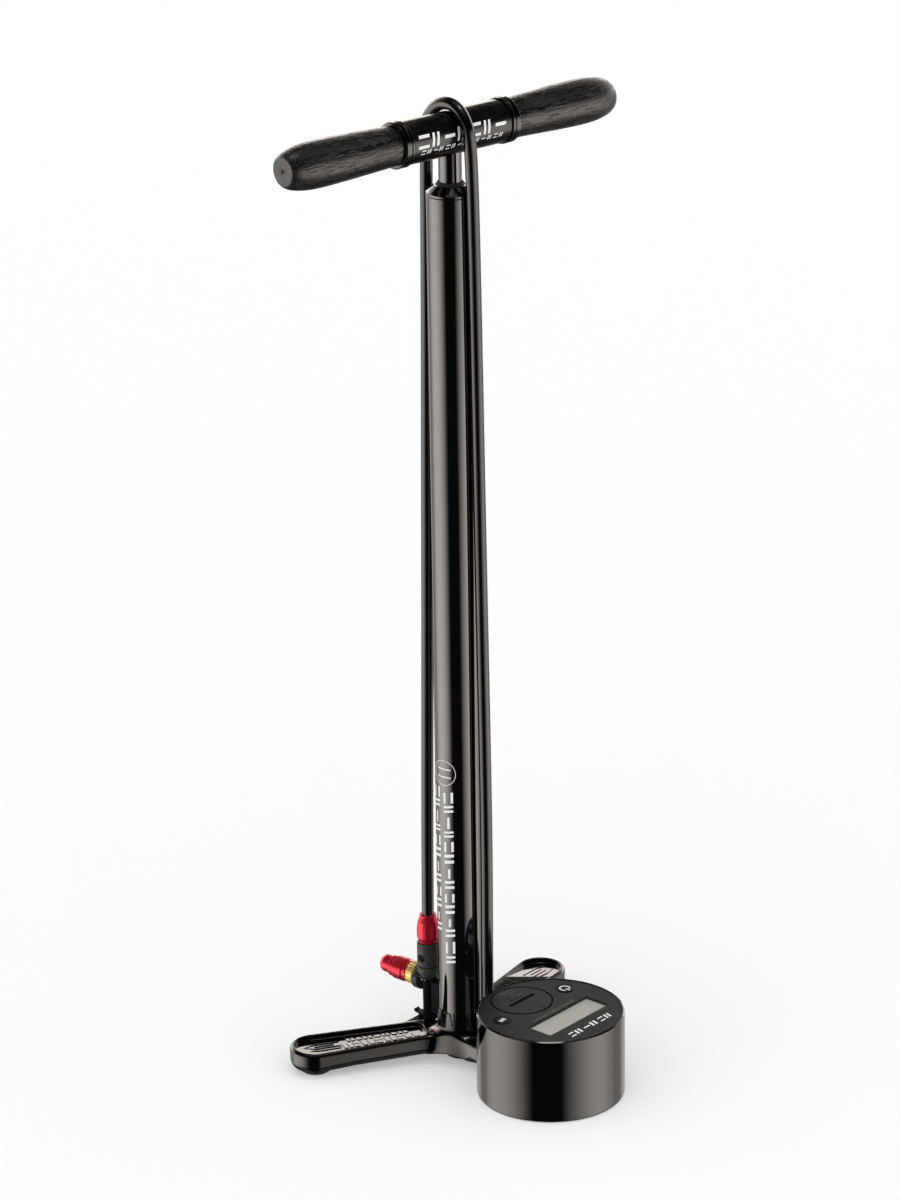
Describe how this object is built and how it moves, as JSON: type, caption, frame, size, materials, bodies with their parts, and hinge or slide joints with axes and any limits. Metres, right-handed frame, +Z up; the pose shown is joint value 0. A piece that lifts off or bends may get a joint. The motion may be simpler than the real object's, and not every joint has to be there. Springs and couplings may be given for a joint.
{
  "type": "floor pump",
  "caption": "Upright floor pump: cast foot with two treads and a round digital gauge, long barrel, wooden T-handle, hose looped over the handle, chuck docked behind the barrel.",
  "frame": {"origin": "middle of the foot plan, on the floor, measured without the hose and its chuck", "axes": "+Z up along the barrel, -Y towards the gauge, X across the handle"},
  "size_m": [0.2638, 0.2032, 0.6477],
  "materials": {
    "gloss_black": "high-gloss black lacquer over cast and drawn alloy",
    "satin_black": "satin black anodised",
    "face_black": "fine-grained matte",
    "lcd_grey": "grey-green liquid crystal",
    "clear_lens": "clear polished",
    "red_alloy": "gloss red anodised",
    "brass": "bright knurled",
    "chuck_black": "charcoal moulded",
    "hose_rubber": "smooth glossy",
    "black_wood": "black stained open grain, satin",
    "rubber": "matte",
    "steel": "plated",
    "board_green": "solder mask",
    "nylon": "moulded"
  },
  "bodies": {
    "base": {"barrel": "gloss_black", "barrel_cap": "gloss_black", "barrel_cap_seal": "rubber", "barrel_foot_plug": "steel", "base_casting": "gloss_black", "battery_contact": "steel", "battery_well": "face_black", "bleed_spring": "steel", "check_spring": "steel", "chuck_body": "chuck_black", "chuck_dock": "chuck_black", "chuck_elbow": "chuck_black", "chuck_swivel_ring": "chuck_black", "circuit_board": "board_green", "coin_cell": "steel", "foot_plug_seal": "rubber", "gauge_face": "face_black", "gauge_foot_ring": "rubber", "gauge_housing": "gloss_black", "gauge_screw_1": "steel", "gauge_screw_2": "steel", "gauge_screw_3": "steel", "hose": "hose_rubber", "hose_ferrule": "red_alloy", "hose_inlet_barb": "steel", "hose_inlet_sleeve": "gloss_black", "lcd_panel": "lcd_grey", "lcd_window": "clear_lens", "left_foot_pad": "rubber", "pressure_sensor": "steel", "right_foot_pad": "rubber", "rod_bush": "nylon", "rod_wiper": "rubber", "sensor_air_pipe": "nylon", "valve_pin": "steel"},
    "plunger_seals": {"piston_seal": "rubber", "piston_glide_ring": "nylon"},
    "plunger": {"piston_rod": "satin_black", "piston_head": "nylon", "piston_nut": "steel", "handle_tube": "satin_black", "handle_core": "steel", "left_handle_ring": "gloss_black", "right_handle_ring": "gloss_black", "left_grip": "black_wood", "right_grip": "black_wood", "left_grip_stud": "steel", "right_grip_stud": "steel"},
    "cap_lift": {"battery_cap_seal": "rubber"},
    "battery_cap": {"battery_cap": "face_black"},
    "power_button": {"power_button": "gloss_black"},
    "unit_button": {"unit_button": "gloss_black"},
    "bleed_button": {"bleed_button": "gloss_black"},
    "coupler": {"valve_coupler": "red_alloy", "brass_knurl_ring": "brass", "chuck_seal": "rubber"},
    "check_ball": {"check_ball": "steel"}
  },
  "joints": [
    {"name": "pump_stroke", "type": "slide", "parent": "base", "child": "plunger_seals", "axis": [0, 0, 1], "range_m": [0, 0.49], "deforming": ["hose"]},
    {"name": "handle_swivel", "type": "hinge", "parent": "plunger_seals", "child": "plunger", "pos_m": [0, 0.0221, 0], "axis": [0, 0, 1], "range_deg": [-11.5, 16]},
    {"name": "battery_cap_lift", "type": "slide", "parent": "base", "child": "cap_lift", "axis": [0, 0, 1], "range_m": [0, 0.003]},
    {"name": "battery_cap_turn", "type": "hinge", "parent": "cap_lift", "child": "battery_cap", "pos_m": [-0.0007, -0.0296, 0.055], "axis": [0, 0, 1], "range_deg": [0, 540]},
    {"name": "power_button_press", "type": "slide", "parent": "base", "child": "power_button", "axis": [0, 0, -1], "range_m": [0, 0.0008], "stiffness_N_per_m": 400},
    {"name": "unit_button_press", "type": "slide", "parent": "base", "child": "unit_button", "axis": [0, 0, -1], "range_m": [0, 0.0008], "stiffness_N_per_m": 400},
    {"name": "bleed_button_press", "type": "slide", "parent": "base", "child": "bleed_button", "axis": [1, 0, 0], "range_m": [0, 0.001], "stiffness_N_per_m": 500},
    {"name": "coupler_turn", "type": "hinge", "parent": "base", "child": "coupler", "pos_m": [0, 0.0771, 0.049], "axis": [0, 1, 0], "continuous": true},
    {"name": "check_valve_lift", "type": "slide", "parent": "base", "child": "check_ball", "axis": [0, 0, -1], "range_m": [0, 0.001], "stiffness_N_per_m": 300, "deforming": ["check_spring"]}
  ],
  "couplings": [
    {"joint": "battery_cap_turn", "follows": "battery_cap_lift", "rad_per_m": 3141.6}
  ]
}
